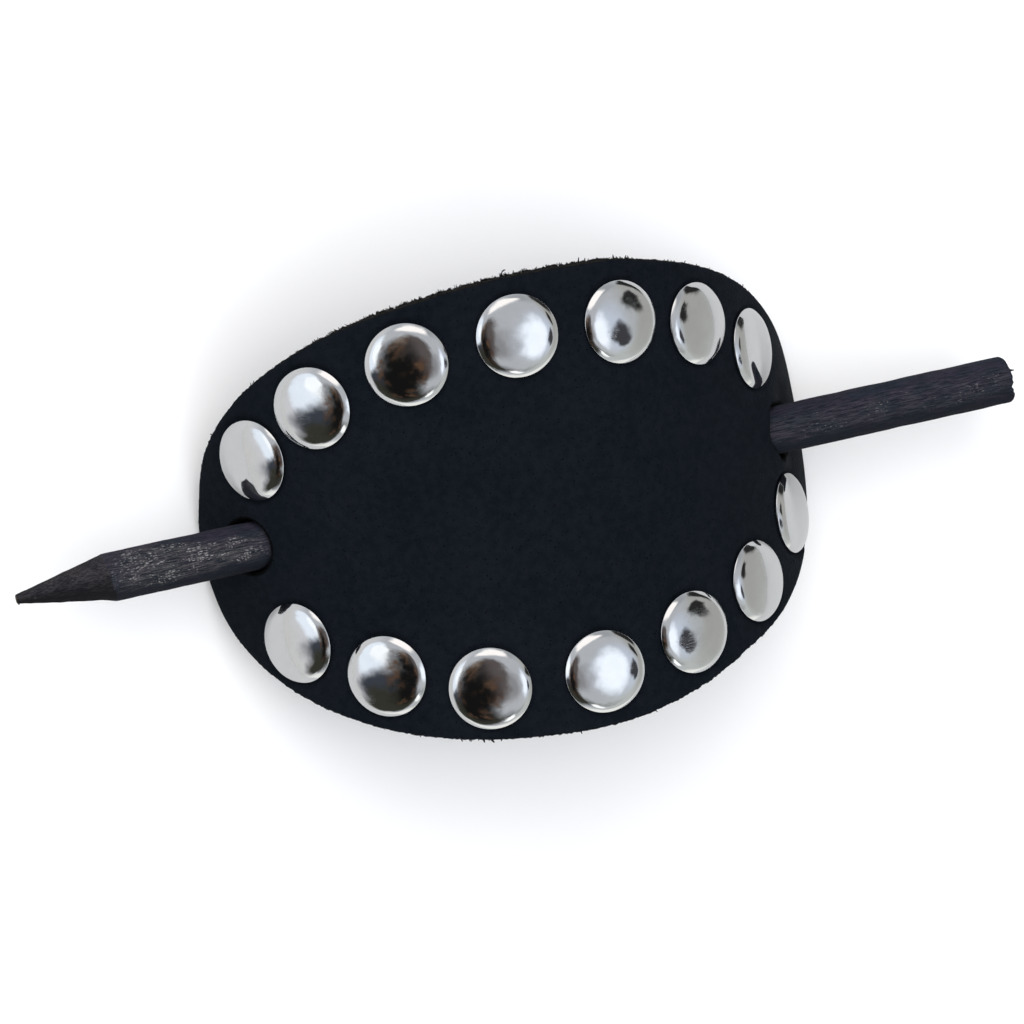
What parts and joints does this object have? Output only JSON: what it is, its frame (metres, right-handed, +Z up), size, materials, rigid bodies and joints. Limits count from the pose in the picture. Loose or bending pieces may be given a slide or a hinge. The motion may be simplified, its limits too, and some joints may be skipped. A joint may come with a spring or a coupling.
{
  "type": "stick barrette",
  "caption": "Bowed oval of leather with domed metal rivets round its edge, closed over the hair by a round wooden stick pushed through a hole near each end.",
  "frame": {"origin": "on the surface that the two flattened ends of the leather stand on, below the middle of the stick, at the middle of the bounding box", "axes": "+X runs along the stick from its point to its blunt end, +Y runs across the leather towards its upper row of rivets, +Z points up, away from the head"},
  "size_m": [0.1404, 0.0606, 0.0304],
  "materials": {
    "leather": "smooth black leather, satin, with raw fibrous cut edges",
    "stained_wood": "black-stained bare wood with open grain, dull",
    "bright_plate": "bright nickel plate, mirror polished",
    "plated_back": "plain nickel plate, satin"
  },
  "bodies": {
    "panel": {"leather_panel": "leather", "stud_cap_u1": "bright_plate", "stud_cap_u2": "bright_plate", "stud_cap_u3": "bright_plate", "stud_cap_u4": "bright_plate", "stud_cap_u5": "bright_plate", "stud_cap_u6": "bright_plate", "stud_cap_u7": "bright_plate", "stud_cap_l1": "bright_plate", "stud_cap_l2": "bright_plate", "stud_cap_l3": "bright_plate", "stud_cap_l4": "bright_plate", "stud_cap_l5": "bright_plate", "stud_cap_l6": "bright_plate", "stud_cap_l7": "bright_plate", "rivet_back_u1": "plated_back", "rivet_back_u2": "plated_back", "rivet_back_u3": "plated_back", "rivet_back_u4": "plated_back", "rivet_back_u5": "plated_back", "rivet_back_u6": "plated_back", "rivet_back_u7": "plated_back", "rivet_back_l1": "plated_back", "rivet_back_l2": "plated_back", "rivet_back_l3": "plated_back", "rivet_back_l4": "plated_back", "rivet_back_l5": "plated_back", "rivet_back_l6": "plated_back", "rivet_back_l7": "plated_back"},
    "stick": {"hair_stick": "stained_wood"}
  },
  "joints": [
    {"name": "stick_slide", "type": "slide", "parent": "panel", "child": "stick", "axis": [1, 0, 0], "range_m": [-0.03, 0.03]}
  ]
}
